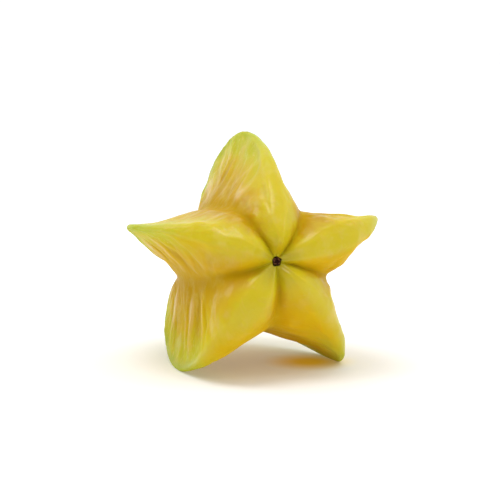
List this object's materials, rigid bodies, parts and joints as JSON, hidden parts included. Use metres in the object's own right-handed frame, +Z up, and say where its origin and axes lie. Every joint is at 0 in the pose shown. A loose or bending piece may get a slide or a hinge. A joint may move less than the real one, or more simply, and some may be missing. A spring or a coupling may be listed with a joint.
{
  "type": "star fruit",
  "caption": "Whole star fruit lying on two of its ribs: a short plump body with deep valleys, thin keeled rib edges and a dry stalk stub in a shallow dimple.",
  "frame": {"origin": "on the supporting surface, under the middle of the fruit's box", "axes": "+Z up, +Y along the fruit from the stalk end towards the blossom end, +X across it"},
  "size_m": [0.0698, 0.0838, 0.0686],
  "materials": {
    "skin": "waxy, golden yellow with green rib edges",
    "dry_stalk": "dry, matt, dark brown"
  },
  "bodies": {
    "root": {"fruit": "skin", "stalk_stub": "dry_stalk"}
  },
  "joints": []
}
